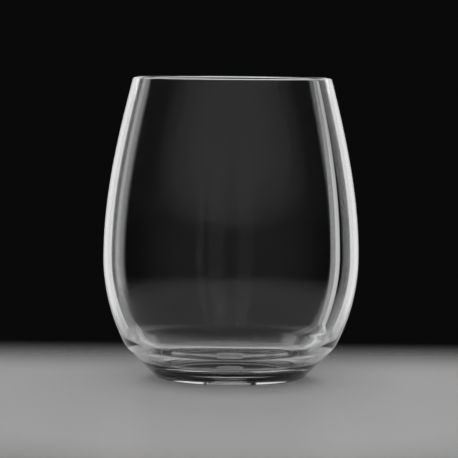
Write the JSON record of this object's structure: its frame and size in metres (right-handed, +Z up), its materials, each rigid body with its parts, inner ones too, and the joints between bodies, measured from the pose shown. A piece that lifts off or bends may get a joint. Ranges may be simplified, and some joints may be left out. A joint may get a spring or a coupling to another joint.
{
  "type": "stemless wine glass",
  "caption": "Clear stemless wine glass: round, thin-walled bowl that narrows to a rounded lip, with a flared heel that stands on a flat ring; holds a drink.",
  "frame": {"origin": "middle of the standing ring, on the table", "axes": "+Z up along the glass's axis, +X to the right and -Y towards the viewer in the picture; the glass is the same all round"},
  "size_m": [0.0942, 0.0942, 0.11],
  "materials": {
    "clear_glass": "fire-polished clear, faint flow lines, matte round mark under the base"
  },
  "bodies": {
    "root": {"glass_body": "clear_glass"}
  },
  "joints": []
}
